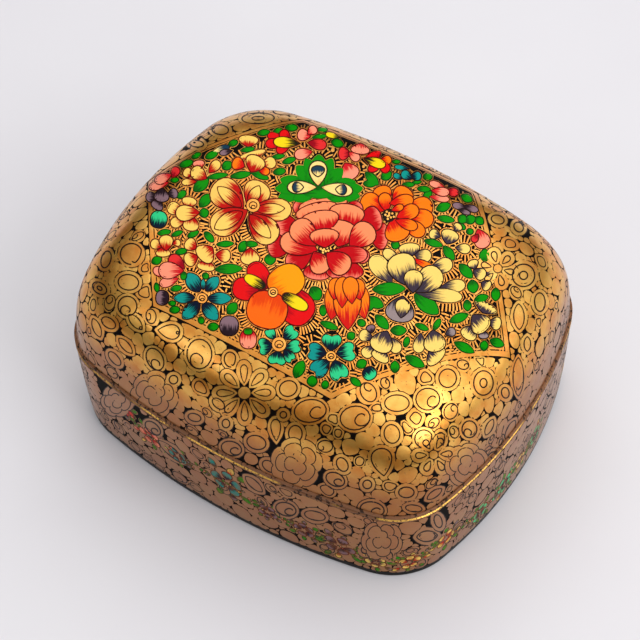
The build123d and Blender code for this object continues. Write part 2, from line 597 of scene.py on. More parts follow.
def makeLidLacquer():
    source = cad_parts["lid_shell"]
    bm = bmesh.new()
    bm.from_mesh(source.data)
    bmesh.ops.remove_doubles(bm, verts=bm.verts, dist=0.002 * mm)
    bm.normal_update()
    for vert in [v for v in bm.verts if v.co.z > lidLacquerLook["foot"]]:
        spot, flat, index, away = lidSkin.tree.find_nearest(vert.co)
        if away < lidLacquerLook["touch"]:
            vert.co = spot - lidSkin.facing(spot, index) * paintDepth
    middle = upward * 25 * mm
    for face in bm.faces:
        face.smooth = True
        outward = face.normal.dot(face.calc_center_median() - middle) > 0
        face.material_index = 0 if outward else 1
    for edge in bm.edges:
        edge.smooth = edge.calc_face_angle(0) < lidLacquerLook["sharp"]
    mesh = bpy.data.meshes.new("lidLacquer")
    bm.to_mesh(mesh)
    bm.free()
    mesh.materials.append(finishes["ground"].material)
    mesh.materials.append(finishes["inside"].material)
    piece = bpy.data.objects.new("lidLacquer", mesh)
    bpy.context.scene.collection.objects.link(piece)
    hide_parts("lid_shell")
    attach(piece, "lid")


dressFrame()
makeLidLacquer()
print("lacquer and finishes made")


# ---- layout of the top's six-sided panel, in plan, mm ----
panel = {
    "corners": ((-28, -37), (26.5, -37.5), (56.5, 0.5), (23, 41.5), (-30, 38), (-56, 0)),
    "goldWidth": 1.15,
    "blackWidth": 0.3,
    "lineWidth": 0.35,
    "goldLift": 0.06 * mm,
    "lineLift": 0.055 * mm,
}


def panelEdges():
    corners = [Vector((x * mm, y * mm)) for x, y in panel["corners"]]
    return list(zip(corners, corners[1:] + corners[:1]))


def panelReach(point):
    # how far outside the panel a place lies in plan, negative inside, and the way to the panel
    flat = Vector((point.x, point.y))
    inside = True
    best = None
    for first, second in panelEdges():
        run = second - first
        share = min(1, max(0, (flat - first).dot(run) / run.length_squared))
        gap = first + run * share - flat
        if run.x * (flat - first).y - run.y * (flat - first).x < 0:
            inside = False
        if best is None or gap.length < best[0]:
            best = (gap.length, gap)
    reach, gap = best
    return (-reach if inside else reach), Vector((gap.x, gap.y, 0))


# ---- gold ground: dabs that crowd round each other and leave dark chinks ----
groundLook = {
    "sizes": (3.0, 2.4, 1.85, 1.4, 1.0, 0.7),  # dab radii, mm, largest first
    "tries": (1500, 6000, 12000, 18000, 20000, 16000),
    "crowding": 0.86,
    "swell": 1.6,
    "softness": 4.5,
    "merge": 1.1,  # how far a dab runs into its neighbours
    "chink": 0.08,
    "lobes": (0.07, 0.06, 0.03),  # how far the brush bulges out, as shares of the reach
    "widest": 7 * mm,  # radius of the widest thing that a dab keeps clear of
    "coarse": 1.4 * mm,  # radii above which a dab has a finer edge, may have a loop, and may have a curl
    "lined": 1.35 * mm,
    "curled": 1.8 * mm,
    "shares": (0.16, 0.24),  # of the lined dabs with an ink loop, and with a curl
    "lineWidth": 0.35 * mm,
    "inkLift": 0.075 * mm,
    "goldLift": 0.05 * mm,
}
groundEnds = {
    # where the edges of the dabs end, and where their middles do
    "lidFoot": (32.45 * mm, 32.4 * mm),
    "baseFoot": (2.5 * mm, 2.5 * mm),
    "baseRim": (29.55 * mm, 29.5 * mm),
    "panelFrame": ((panel["goldWidth"] / 2 + 0.2) * mm, 0.62 * mm),  # out from its middle line
    "nearPanel": 9 * mm,
    "nearFoot": 42 * mm,
}


class Dab:
    def __init__(self, centre, normal, radius, fixed=False):
        self.centre, self.normal, self.radius, self.fixed = centre, normal, radius, fixed


class Crowd:
    # everything laid so far, found quickly by place
    def __init__(self, cell=3 * mm):
        self.cell, self.grid, self.dabs = cell, {}, []

    def key(self, point):
        return tuple(int(part // self.cell) for part in point)

    def add(self, dab):
        self.dabs.append(dab)
        self.grid.setdefault(self.key(dab.centre), []).append(dab)

    def near(self, point, steps):
        a, b, c = self.key(point)
        spread = range(-steps, steps + 1)
        for x in spread:
            for y in spread:
                for z in spread:
                    yield from self.grid.get((a + x, b + y, c + z), ())

    def room(self, point, radius, largest):
        steps = int((radius + largest) // self.cell) + 1
        for dab in self.near(point, steps):
            apart = (dab.radius + radius) * (1 if dab.fixed else groundLook["crowding"])
            if (dab.centre - point).length < apart:
                return False
        return True


def randomPlaces(skin, count):
    sums = list(accumulate(skin.areas))
    for n in range(count):
        index = min(bisect_left(sums, random.random() * sums[-1]), len(sums) - 1)
        a, b, c = skin.corners[index]
        first, second = random.random(), random.random()
        if first + second > 1:
            first, second = 1 - first, 1 - second
        point = a + (b - a) * first + (c - a) * second
        yield point, skin.facing(point, index)


class Ground:
    # the gold and ink of one body's wall, and the crowd of what lies on it
    def __init__(self, name, skin, slot):
        self.gold = Sheet(name + "Gold", skin, finishes["gold"], slot)
        self.ink = Sheet(name + "Ink", skin, finishes["ink"], slot)
        self.crowd = Crowd()


def fillGround(ground, keepOff):
    # keepOff(point) is the room there to walls such as a rim or the panel
    sizes = groundLook["sizes"]
    for size, tries in zip(sizes, groundLook["tries"]):
        for point, normal in randomPlaces(ground.gold.skin, tries):
            radius = size * mm * random.uniform(0.85, 1.15)
            if keepOff(point) > radius * 0.6 and ground.crowd.room(point, radius, groundLook["widest"]):
                ground.crowd.add(Dab(point, normal, radius))


def dabOutline(dab, crowd, canvas, walls):
    # the reach of a dab in every direction, held back by its neighbours
    limits = []
    reach = dab.radius * groundLook["swell"]
    for other in crowd.near(dab.centre, int((dab.radius + groundLook["widest"]) // crowd.cell) + 1):
        if other is dab:
            continue
        gap = other.centre - dab.centre
        distance = gap.length
        if distance > reach + other.radius * 1.3:
            continue
        x, y = gap.dot(canvas.along), gap.dot(canvas.across)
        flat = math.hypot(x, y) or 1e-9
        if other.fixed:
            bound = distance - other.radius
        else:
            bound = (distance**2 + dab.radius**2 - other.radius**2) / (2 * distance)
        limits.append((x / flat, y / flat, max(bound, 0.15 * dab.radius)))
    for gap, bound in walls(dab.centre):
        x, y = gap.dot(canvas.along), gap.dot(canvas.across)
        flat = math.hypot(x, y)
        if flat > 1e-9:
            limits.append((x / flat, y / flat, max(bound, 0.1 * dab.radius)))
    power = groundLook["softness"]
    lobes = [(n + 2, share * random.uniform(0.3, 1), random.uniform(0, 6.3))
             for n, share in enumerate(groundLook["lobes"])]

    def outline(angle):
        cosine, sine = math.cos(angle), math.sin(angle)
        total = reach**-power
        for x, y, bound in limits:
            towards = x * cosine + y * sine
            if towards > 0.05:
                total += (bound / towards) ** -power
        bulge = sum(share * math.sin(count * angle + turn) for count, share, turn in lobes)
        return total ** (-1 / power) * (groundLook["merge"] + bulge)

    return outline


plainStroke = Vector((0.5, 0, 0))


def laidDab(canvas, outline, lift, tone, back):
    def place(x, y):
        share = math.hypot(x, y)
        angle = math.atan2(y, x)
        reach = max(outline(angle) - back, 0.05 * mm) * share
        stroke = Vector((tone, share, max(0, share - 0.7) / 0.3))
        return (*canvas.at(reach * math.cos(angle), reach * math.sin(angle), lift), stroke)

    return place


def laidLoop(canvas, outline, lift, share, width, turn):
    # a closed brush line at a share of the outline
    def place(x, y):
        angle = math.atan2(y, x)
        inner = math.hypot(x, y) < 0.75
        wobble = 1 + 0.03 * math.sin(3 * angle + turn)
        reach = outline(angle) * share * wobble - (width if inner else 0)
        return (*canvas.at(reach * math.cos(angle), reach * math.sin(angle), lift), plainStroke)

    return place


def laidCurve(canvas, curve, lift, width, taper=0.35):
    # a brush line along curve(share), which gives flat coordinates
    def place(x, y):
        here = Vector(curve(x))
        ahead = Vector(curve(min(1, x + 0.01))) - Vector(curve(max(0, x - 0.01)))
        side = Vector((-ahead.y, ahead.x)).normalized()
        press = width / 2 * min(1, taper + 6 * x * (1 - x) + 0.2)
        return (*canvas.at(*(here + side * y * press), lift), plainStroke)

    return place


def snail(radius, flat, turn, curl):
    # an oval that ends in a curl inside itself
    def curve(share):
        angle = turn + share * (2 * math.pi + curl)
        inward = max(0, share * (2 * math.pi + curl) - 2 * math.pi * 0.93) / curl
        size = radius * (1 - min(1, inward) * 0.8)
        pull = radius * 0.52 * min(1, inward * 1.4)
        x, y = size * math.cos(angle), size * math.sin(angle) * flat
        return x + pull * math.cos(turn), y + pull * math.sin(turn) * flat

    return curve


def drawDab(ground, dab, walls):
    turn = random.uniform(0, 2 * math.pi)
    along = Matrix.Rotation(turn, 3, dab.normal) @ dab.normal.orthogonal()
    canvas = Canvas(ground.gold.skin, dab.centre, along, dab.normal)
    outline = dabOutline(dab, ground.crowd, canvas, walls)
    tone = random.random()
    back = groundLook["chink"] * mm * random.choice((-1.2, 0, 1.0, 2.0))
    mark = "blob" if dab.radius > groundLook["coarse"] else "dab"
    lift = groundLook["goldLift"] + random.uniform(0, 0.012) * mm
    ground.gold.stamp(mark, laidDab(canvas, outline, lift, tone, back))
    if dab.radius < groundLook["lined"]:
        return
    kind = random.random()
    lift, width = groundLook["inkLift"], groundLook["lineWidth"]
    loops, curls = groundLook["shares"]
    if kind < loops:
        ground.ink.stamp("loop", laidLoop(canvas, outline, lift, random.uniform(0.6, 0.78), width, turn))
    elif kind < loops + curls and dab.radius > groundLook["curled"]:
        flat, start, curl = random.uniform(0.68, 0.95), random.uniform(0, 6), random.uniform(3, 7)
        curve = snail(dab.radius * 0.82, flat, start, curl)
        ground.ink.stamp("curl", laidCurve(canvas, curve, lift, width))


def drawDabs(ground, walls):
    for dab in ground.crowd.dabs:
        if not dab.fixed:
            drawDab(ground, dab, walls)


def lidWalls(point):
    reach, gap = panelReach(point)
    if reach < groundEnds["nearPanel"]:
        yield gap, reach - groundEnds["panelFrame"][0]
    if point.z < groundEnds["nearFoot"]:
        yield -upward, point.z - groundEnds["lidFoot"][0]


def baseWalls(point):
    yield -upward, point.z - groundEnds["baseFoot"][0]
    yield upward, groundEnds["baseRim"][0] - point.z


def lidRoom(point):
    reach, gap = panelReach(point)
    return min(reach - groundEnds["panelFrame"][1], point.z - groundEnds["lidFoot"][1])


def baseRoom(point):
    return min(point.z - groundEnds["baseFoot"][1], groundEnds["baseRim"][1] - point.z)


# ---- the panel's flowers: a colour, then its petals as base, tip and width in pixels of the view ----
paints = {
    # light colour, dark colour, how far up the petal the dark hairs reach
    "rose": (rgb(255, 142, 92), rgb(198, 0, 12), 0.52),
    "roseDeep": (rgb(255, 124, 98), rgb(190, 0, 12), 0.76),
    "pale": (rgb(255, 160, 120), rgb(214, 40, 40), 0.2),
    "cream": (rgb(250, 206, 98), rgb(186, 10, 4), 0.42),
    "blush": (rgb(250, 200, 96), rgb(190, 16, 8), 0.56),
    "silver": (rgb(250, 210, 108), rgb(58, 46, 58), 0.42),
    "slate": (rgb(150, 132, 130), rgb(52, 44, 54), 0.5),
    "orange": (rgb(255, 122, 8), rgb(214, 10, 2), 0.48),
    "marigold": (rgb(253, 156, 6), rgb(242, 112, 2), 0.25),
    "pansy": (rgb(250, 104, 14), rgb(230, 64, 4), 0.3),
    "red": (rgb(226, 10, 14), rgb(166, 0, 18), 0.35),
    "yellow": (rgb(250, 214, 20), rgb(26, 24, 6), 0.34),
    "teal": (rgb(14, 146, 134), rgb(4, 18, 40), 0.4),
    "sea": (rgb(48, 204, 132), rgb(2, 24, 42), 0.42),
    "mauve": (rgb(134, 104, 112), rgb(38, 22, 30), 0.5),
    "frost": (rgb(250, 230, 160), rgb(18, 52, 84), 0.0),
    "ivory": (rgb(250, 218, 132), rgb(246, 196, 104), 0.15),
    "navy": (rgb(22, 56, 76), rgb(250, 218, 132), 0.4),
    "pink": (rgb(255, 148, 116), rgb(206, 20, 30), 0.36),
    "crimson": (rgb(226, 44, 44), rgb(150, 0, 20), 0.4),
    "tulip": (rgb(255, 126, 16), rgb(208, 22, 14), 0.3),
    "leaf": (rgb(10, 140, 3), rgb(3, 88, 4), 0.25),
}
edgeColours = {
    "warm": rgb(84, 4, 0), "dark": rgb(34, 14, 8), "green": rgb(4, 60, 6), "flatGreen": rgb(8, 128, 6),
}

flowers = {
    # edge, usual petal shape, petals
    "rose": ("warm", "drop", (
        "roseDeep", (312, 252, 287, 265, 20), (292, 246, 268, 244, 24), (297, 222, 276, 226, 22),
        (312, 212, 294, 204, 14), (318, 262, 316, 279, 26), (345, 258, 345, 279, 36),
        (352, 250, 368, 259, 14), (370, 235, 388, 236, 26), (360, 222, 381, 216, 24),
        (342, 214, 362, 206, 16),
        "rose", (325, 218, 322, 197, 48), (320, 224, 315, 203, 42), (345, 228, 348, 204, 34),
        (338, 246, 345, 221, 30), (322, 234, 318, 211, 38), (350, 246, 372, 226, 24),
        (317, 250, 281, 239, 22), (316, 245, 294, 222, 24),
        "roseDeep", (329, 253, 367, 255, 16),
        "rose", (314, 252, 324, 272, 20), (327, 253, 348, 270, 22), (325, 247, 324, 229, 28))),
    "cream": ("warm", "drop", (
        "blush", (243, 207, 214, 184, 30), (249, 206, 262, 182, 26), (250, 210, 291, 209, 22),
        (249, 214, 275, 240, 26), (247, 210, 212, 229, 26),
        "cream", (241, 206, 218, 187, 12, "leaf"), (249, 204, 259, 186, 10, "leaf"),
        (256, 209, 284, 208, 10, "leaf"), (250, 215, 270, 237, 12, "leaf"),
        (242, 212, 215, 228, 14, "leaf"))),
    "orangeRose": ("warm", "drop", (
        "orange", (386, 204, 380, 186, 18), (395, 206, 408, 188, 20), (384, 210, 362, 198, 20),
        (405, 212, 432, 204, 20), (405, 215, 433, 220, 18), (402, 220, 424, 234, 14),
        (393, 218, 400, 240, 24), (387, 211, 384, 193, 12), (390, 203, 413, 199, 12),
        (397, 217, 418, 208, 14), (396, 220, 417, 227, 10), (392, 210, 403, 206, 6))),
    "lotus": ("dark", "drop", (
        "silver", (392, 282, 372, 256, 18), (400, 262, 384, 250, 10), (415, 254, 431, 256, 12),
        (410, 256, 409, 243, 20), (430, 270, 452, 262, 14), (440, 288, 465, 284, 12),
        (416, 292, 462, 297, 13),
        "orange", (411, 258, 434, 268, 6),
        "silver", (415, 291, 440, 270, 24), (408, 285, 398, 254, 28), (413, 292, 414, 270, 18))),
    "pansy": ("warm", "round", (
        "red", (283, 296, 310, 318, 34), (266, 288, 252, 263, 20), (258, 290, 233, 287, 22),
        "marigold", (270, 290, 302, 272, 32),
        "pansy", (272, 292, 262, 327, 40),
        "yellow", (265, 287, 245, 276, 10), (283, 295, 307, 308, 12))),
    "tulip": ("warm", "point", (
        "tulip", (331, 319, 338, 284, 20, "drop"), (365, 318, 355, 284, 20, "drop"),
        (348, 329, 347, 284, 27, "drop"), (334, 299, 337, 278, 14, "drop"),
        (360, 299, 356, 279, 14, "drop"), (342, 307, 343, 277, 15, "drop"),
        (352, 303, 350, 277, 15, "drop"))),
    "tealStar": ("dark", "leaf", (
        "teal", (199, 291, 188, 273, 14), (206, 290, 218, 277, 11), (203, 289, 203, 279, 4),
        (208, 298, 231, 298, 11), (203, 303, 217, 319, 13), (199, 302, 183, 318, 13),
        (194, 297, 174, 298, 10))),
    "seaHearts": ("dark", "heart", (
        "sea", (284, 338, 296, 328, 14), (275, 339, 267, 328, 9), (272, 345, 258, 347, 16),
        (278, 351, 276, 365, 17), (285, 348, 301, 345, 12), (284, 350, 293, 361, 10))),
    "blueHearts": ("dark", "heart", (
        "sea", (331, 350, 332, 333, 19),
        "teal", (326, 353, 307, 350, 17),
        "sea", (337, 353, 356, 350, 18),
        "teal", (329, 360, 312, 374, 17),
        "sea", (334, 360, 342, 380, 18))),
    "sprayGreen": ("flatGreen", "leaf", (
        "leaf", (302, 190, 279, 198, 12), (302, 187, 276, 188, 11), (306, 185, 281, 179, 12),
        (313, 182, 297, 166, 12), (317, 180, 306, 159, 12), (318, 180, 319, 155, 15),
        (320, 180, 332, 159, 12), (325, 184, 342, 169, 12), (332, 187, 355, 182, 12),
        (334, 190, 362, 188, 12), (332, 192, 359, 196, 12), (324, 191, 345, 199, 11),
        (314, 191, 294, 199, 11), (298, 188, 340, 189, 17, "oval"), (318, 190, 318, 162, 22, "oval"))),
    "butterfly": ("dark", "drop", (
        "ivory", (318, 185, 318, 161, 17), (316, 187, 288, 187, 12), (322, 187, 352, 191, 12),
        "navy", (318, 176, 318, 166, 12), (303, 187, 293, 187, 9), (336, 189, 346, 190, 9))),
    "mauveBud": ("dark", "round", ("mauve", (229, 335, 229, 316, 18))),
    "mauveBudLow": ("dark", "round", ("mauve", (168, 298, 156, 297, 14))),
    "redBud": ("warm", "round", ("pink", (248, 330, 248, 348, 16), "leaf", (248, 328, 248, 334, 8))),
    "cupA": ("warm", "drop", (
        "cream", (182, 212, 168, 205, 12), (185, 218, 171, 224, 10), (192, 216, 190, 230, 15),
        (188, 207, 190, 197, 14), (199, 212, 176, 213, 15))),
    "cupB": ("warm", "drop", (
        "cream", (162, 246, 151, 242, 9), (163, 247, 163, 256, 14), (173, 243, 180, 242, 6),
        (166, 250, 166, 235, 13))),
    "cupC": ("warm", "drop", (
        "cream", (196, 248, 186, 241, 12), (197, 256, 185, 261, 13), (207, 260, 205, 270, 17),
        (216, 254, 230, 256, 12), (212, 247, 200, 258, 20))),
    "salmonCup": ("warm", "drop", (
        "crimson", (184, 268, 170, 256, 12),
        "pink", (165, 276, 154, 268, 8), (178, 278, 160, 284, 9), (183, 270, 159, 270, 16))),
    "pinkSprig": ("warm", "drop", (
        "crimson", (172, 177, 177, 167, 8),
        "pink", (168, 182, 149, 187, 8), (171, 174, 155, 181, 9))),
    "mauveSprig": ("dark", "drop", (
        "mauve", (157, 197, 146, 196, 9), (168, 194, 177, 192, 9), (160, 200, 155, 208, 12),
        (162, 188, 161, 201, 14))),
    "creamCup": ("warm", "drop", (
        "pink", (199, 168, 198, 160, 11),
        "cream", (192, 175, 184, 170, 9), (196, 181, 182, 182, 6), (209, 172, 219, 161, 9),
        (206, 178, 192, 169, 13))),
    "creamTulip": ("warm", "drop", (
        "cream", (254, 158, 252, 151, 26), (262, 166, 275, 160, 11),
        "orange", (258, 168, 269, 172, 7), (244, 166, 233, 161, 12),
        "cream", (251, 171, 258, 156, 19))),
    "creamBud": ("warm", "drop", ("cream", (248, 146, 249, 135, 19))),
    "redSprig": ("warm", "drop", (
        "red", (285, 140, 268, 134, 8), (283, 143, 266, 143, 9), (290, 139, 281, 131, 9),
        (290, 144, 277, 151, 8),
        "yellow", (300, 143, 274, 141, 10))),
    "pinkSpray": ("warm", "drop", (
        "pink", (310, 136, 298, 133, 11), (308, 133, 316, 127, 8),
        "crimson", (308, 142, 326, 145, 10),
        "pink", (312, 151, 295, 155, 10))),
    "pinkCup": ("warm", "drop", (
        "crimson", (350, 153, 339, 153, 12),
        "pink", (349, 152, 359, 159, 8), (361, 143, 360, 153, 18), (345, 163, 353, 178, 18))),
    "redYellow": ("warm", "drop", (
        "red", (376, 160, 372, 152, 16),
        "orange", (380, 162, 391, 158, 8),
        "red", (379, 163, 389, 170, 9), (372, 163, 374, 171, 10),
        "yellow", (364, 158, 385, 165, 9))),
    "tealSprig": ("dark", "drop", (
        "teal", (409, 168, 395, 166, 4), (402, 178, 394, 174, 5), (411, 176, 421, 175, 8),
        (412, 178, 402, 172, 8))),
    "pinkTulip": ("warm", "drop", (
        "pink", (445, 187, 430, 182, 6), (430, 196, 449, 199, 6),
        "crimson", (447, 190, 458, 193, 8),
        "pink", (432, 190, 449, 192, 8))),
    "mauveSpray": ("dark", "drop", (
        "mauve", (468, 208, 453, 204, 6), (464, 205, 478, 210, 6), (458, 209, 470, 213, 4))),
    "silverCup": ("dark", "drop", (
        "silver", (440, 236, 430, 232, 9), (456, 247, 470, 249, 9), (455, 230, 460, 224, 8),
        (447, 243, 452, 230, 17))),
    "pinkPair": ("warm", "drop", ("pink", (478, 229, 485, 247, 15), "crimson", (478, 234, 473, 241, 6))),
    "silverSprig": ("dark", "drop", (
        "silver", (486, 272, 497, 274, 12), (482, 282, 490, 287, 10), (475, 268, 472, 260, 10),
        (474, 270, 485, 276, 11))),
    "silverBloom": ("dark", "drop", (
        "silver", (483, 312, 488, 303, 24), (474, 326, 466, 338, 16), (490, 322, 501, 324, 12),
        "slate", (484, 331, 484, 338, 9),
        "silver", (473, 315, 486, 330, 20))),
    "silverRound": ("dark", "drop", (
        "silver", (421, 333, 418, 352, 11), (430, 350, 440, 360, 22),
        "slate", (446, 334, 455, 330, 8),
        "silver", (433, 330, 436, 351, 21))),
    "silverFull": ("dark", "drop", (
        "silver", (372, 338, 360, 333, 11), (372, 346, 364, 356, 11), (384, 350, 378, 360, 18),
        (392, 338, 398, 352, 11),
        "mauve", (372, 332, 370, 325, 8),
        "silver", (387, 331, 378, 351, 22))),
    "silverBud": ("dark", "drop", (
        "slate", (403, 296, 398, 321, 28),
        "silver", (401, 317, 404, 299, 14))),
    "creamDrop": ("warm", "drop", ("cream", (250, 248, 250, 264, 18))),
    "seaBud": ("dark", "round", ("sea", (157, 227, 160, 211, 16))),
    "seaDrop": ("dark", "round", ("sea", (366, 368, 373, 378, 13))),
    "navySprig": ("dark", "drop", ("navy", (213, 151, 229, 146, 6), "mauve", (232, 150, 220, 153, 5))),
    "yellowBit": ("dark", "drop", ("yellow", (340, 137, 326, 133, 5))),
}
flowerHearts = {
    # x, y, radius in pixels, kind
    "rose": (324, 249, 5.5, "dark"), "cream": (253, 205, 6.5, "gold"), "orangeRose": (389, 215, 6, "dark"),
    "pansy": (273, 292, 4.5, "gold"), "tealStar": (202, 298, 5, "gold"), "seaHearts": (279, 344, 7, "gold"),
    "blueHearts": (331, 356, 5, "gold"),
}

leaves = (
    (180, 165, 192, 161, 6), (192, 157, 200, 153, 4), (206, 157, 217, 152, 6), (229, 144, 237, 141, 5),
    (171, 180, 178, 179, 4), (223, 168, 231, 162, 8), (194, 190, 208, 179, 10), (178, 197, 185, 191, 6),
    (200, 206, 210, 194, 9), (208, 177, 227, 174, 5), (231, 176, 250, 173, 6), (251, 171, 268, 178, 6),
    (241, 150, 254, 148, 4), (258, 133, 269, 131, 5), (274, 131, 282, 129, 4), (286, 127, 297, 127, 6),
    (318, 129, 327, 129, 4), (313, 137, 326, 135, 4), (332, 141, 343, 144, 7), (272, 157, 284, 155, 4),
    (283, 162, 295, 158, 5), (274, 172, 285, 170, 6), (366, 172, 378, 184, 8), (364, 183, 376, 183, 6),
    (382, 178, 391, 172, 8), (393, 161, 400, 161, 3), (403, 184, 414, 184, 4), (413, 182, 421, 181, 3),
    (424, 176, 432, 176, 6), (418, 188, 430, 189, 5), (424, 198, 431, 191, 6), (437, 209, 450, 204, 8),
    (438, 217, 454, 220, 6), (462, 195, 472, 200, 7), (459, 216, 466, 221, 8), (466, 221, 475, 217, 8),
    (476, 217, 483, 223, 7), (458, 224, 465, 228, 5), (467, 231, 473, 231, 5), (392, 243, 399, 246, 7),
    (425, 240, 442, 245, 6), (444, 246, 454, 259, 8), (460, 264, 472, 277, 9), (472, 280, 474, 292, 10),
    (485, 262, 485, 249, 10), (496, 288, 496, 300, 8), (475, 300, 488, 296, 7), (467, 300, 468, 310, 7),
    (415, 294, 438, 313, 15), (450, 321, 468, 314, 8), (434, 329, 440, 319, 5), (455, 342, 474, 352, 8),
    (484, 350, 485, 341, 7), (491, 340, 504, 345, 8), (373, 289, 405, 288, 12), (367, 298, 383, 306, 10),
    (369, 310, 370, 300, 8), (376, 315, 388, 328, 9), (391, 330, 406, 330, 9), (416, 324, 428, 329, 5),
    (405, 346, 408, 337, 5), (406, 356, 424, 366, 9), (395, 372, 395, 361, 8), (357, 366, 366, 361, 8),
    (358, 321, 365, 324, 6), (348, 338, 354, 333, 7), (351, 378, 360, 385, 6), (295, 377, 303, 361, 10),
    (312, 386, 312, 376, 9), (324, 388, 326, 381, 6), (323, 305, 323, 315, 6), (321, 322, 337, 328, 6),
    (312, 287, 319, 299, 12), (270, 254, 270, 264, 10), (240, 251, 245, 241, 7), (245, 243, 257, 244, 5),
    (217, 244, 233, 243, 5), (215, 269, 242, 268, 9), (205, 232, 213, 241, 6), (188, 236, 198, 231, 5),
    (172, 235, 182, 231, 4), (158, 233, 170, 231, 5), (176, 252, 186, 250, 5), (152, 262, 161, 258, 7),
    (200, 214, 208, 211, 8), (203, 274, 208, 277, 5), (171, 289, 181, 287, 5), (156, 283, 157, 291, 4),
    (170, 310, 179, 309, 6), (169, 303, 175, 303, 4), (184, 272, 183, 279, 5), (200, 317, 202, 323, 5),
    (208, 327, 218, 326, 7), (228, 313, 236, 303, 9),
)

def petalsOf(listing, shape):
    # each petal with the word named before it, and its own shape where it has one
    for entry in listing:
        if isinstance(entry, str):
            word = entry
        else:
            yield word, entry[:5], entry[5] if len(entry) > 5 else shape


petalLook = {
    "goldEdge": 1.7,  # pixels of gold line round a petal or leaf
    "darkEdge": 1.25,
    "edgeUnder": 1.6,  # how far the dark line runs in under the petal
    "firstLift": 0.07,
    "crownHeight": 63,  # above this the top is nearly flat, and petals need less room between them
    "crownStep": 0.006,
    "sideStep": 0.008,
    "heartLift": 0.16,
    "heartDark": rgb(30, 20, 8),
    "raised": {"butterfly": 0.11, "cream": 0.02, "orangeRose": 0.03, "pansy": 0.02, "tulip": 0.02},
}


def petalEdge(shape, angle):
    # a petal's outline: along from base 0 to tip 1, across from -1 to 1
    along = 0.5 - 0.5 * math.cos(angle)
    sine = math.sin(angle)
    half = math.sin((angle % (2 * math.pi)) / 2)
    if shape == "drop":
        across = 1.25 * sine * half**0.8
    elif shape == "leaf":
        across = math.copysign(abs(sine) ** 1.45, sine)
    elif shape == "point":
        across = 1.2 * sine * abs(math.cos(angle / 2)) ** 0.7
    elif shape == "heart":
        across = 1.25 * sine * half**0.8
        along *= 1 - 0.2 * math.exp(-(((angle % (2 * math.pi)) - math.pi) / 0.32) ** 2)
    elif shape == "round":
        across = math.copysign(abs(sine) ** 0.8, sine)
        along = 0.5 - 0.5 * math.copysign(abs(math.cos(angle)) ** 0.9, math.cos(angle))
    else:
        across = sine
    return along, across


def petalPixel(petal, shape, angle, share, grow):
    # a petal's own point in pixels of the view
    startX, startY, endX, endY, width = petal
    runX, runY = endX - startX, endY - startY
    length = math.hypot(runX, runY)
    along, across = petalEdge(shape, angle)
    x, y = (along - 0.52) * length * share, across * width / 2 * share
    if grow:
        out = math.hypot(x, y) or 1
        x, y = x * (1 + grow / out), y * (1 + grow / out)
    x += 0.52 * length
    return (startX + (runX * x - runY * y) / length, startY + (runY * x + runX * y) / length,
            0.52 + (along - 0.52) * share, across * share)


def laidPetal(canvas, petal, shape, lift, grow, reach):
    def place(x, y):
        share, angle = math.hypot(x, y), math.atan2(y, x)
        pixelX, pixelY, along, across = petalPixel(petal, shape, angle, share, grow * share)
        return (*canvas.at(pixelX, pixelY, lift), Vector((along, across, reach)))

    return place


def laidOutline(canvas, petal, shape, lift, width, grow=0):
    def place(x, y):
        angle = math.atan2(y, x)
        out = grow - width if math.hypot(x, y) < 0.75 else grow
        return (*canvas.at(*petalPixel(petal, shape, angle, 1, out)[:2], lift), plainStroke)

    return place


def laidGold(placer, tone):
    # the same place, with a gold dab's values in the stroke
    def place(x, y):
        return (*placer(x, y)[:2], Vector((tone, 0, 0)))

    return place


def drawPetal(paint, gold, canvas, petal, shape, colours, edge, lift, step):
    # gives back the outer points of its gold line
    light, dark, reach = paints[colours]
    rim = petalLook["goldEdge"] + random.uniform(-0.2, 0.3)
    goldPlace = laidPetal(canvas, petal, shape, petalLook["firstLift"] * mm - 0.01 * mm, rim, 0)
    gold.stamp("petal", laidGold(goldPlace, random.uniform(0.6, 1)))
    under = petalLook["darkEdge"] + petalLook["edgeUnder"]
    edgePlace = laidOutline(canvas, petal, shape, lift, under, petalLook["darkEdge"])
    paint.stamp("loop", edgePlace, edgeColours[edge], edgeColours[edge])
    reach += random.uniform(-0.08, 0.08)
    paint.stamp("petal", laidPetal(canvas, petal, shape, lift + step * 0.5, 0, reach), light, dark)
    return [petalPixel(petal, shape, math.pi * n / 12, 1, rim)[:2] for n in range(24)]


def drawHeart(paint, gold, name):
    x, y, radius, kind = flowerHearts[name]
    canvas = ViewCanvas(x, y)
    lift = petalLook["heartLift"] * mm
    disc = (x, y + radius, x, y - radius, radius * 2)
    dark = petalLook["heartDark"]
    paint.stamp("petal", laidPetal(canvas, disc, "oval", lift, 0.8, 0), dark, dark)
    if kind == "gold":
        gold.stamp("petal", laidGold(laidPetal(canvas, disc, "oval", lift + 0.004 * mm, 0, 0), 0.8))
        curve = snail(radius * 0.6, 0.9, 1.0, 5.5)
        spiral = laidCurve(ShiftedCanvas(canvas, x, y), curve, lift + 0.01 * mm, 1.1)
        paint.stamp("curl", spiral, dark, dark)
        return
    for n in range(9):
        angle = 2.4 * n
        out = radius * 0.85 * math.sqrt(n / 8)
        dotX, dotY = x + out * math.cos(angle), y + out * math.sin(angle) * 0.85
        dot = (dotX, dotY + 1.1, dotX, dotY - 1.1, 2.2)
        gold.stamp("dab", laidGold(laidPetal(canvas, dot, "oval", lift + 0.008 * mm, 0, 0), 1))


class ShiftedCanvas:
    # the same canvas, measured from a place on it
    def __init__(self, canvas, x, y):
        self.canvas, self.x, self.y, self.skin = canvas, x, y, canvas.skin

    def at(self, x, y, lift):
        return self.canvas.at(self.x + x, self.y + y, lift)


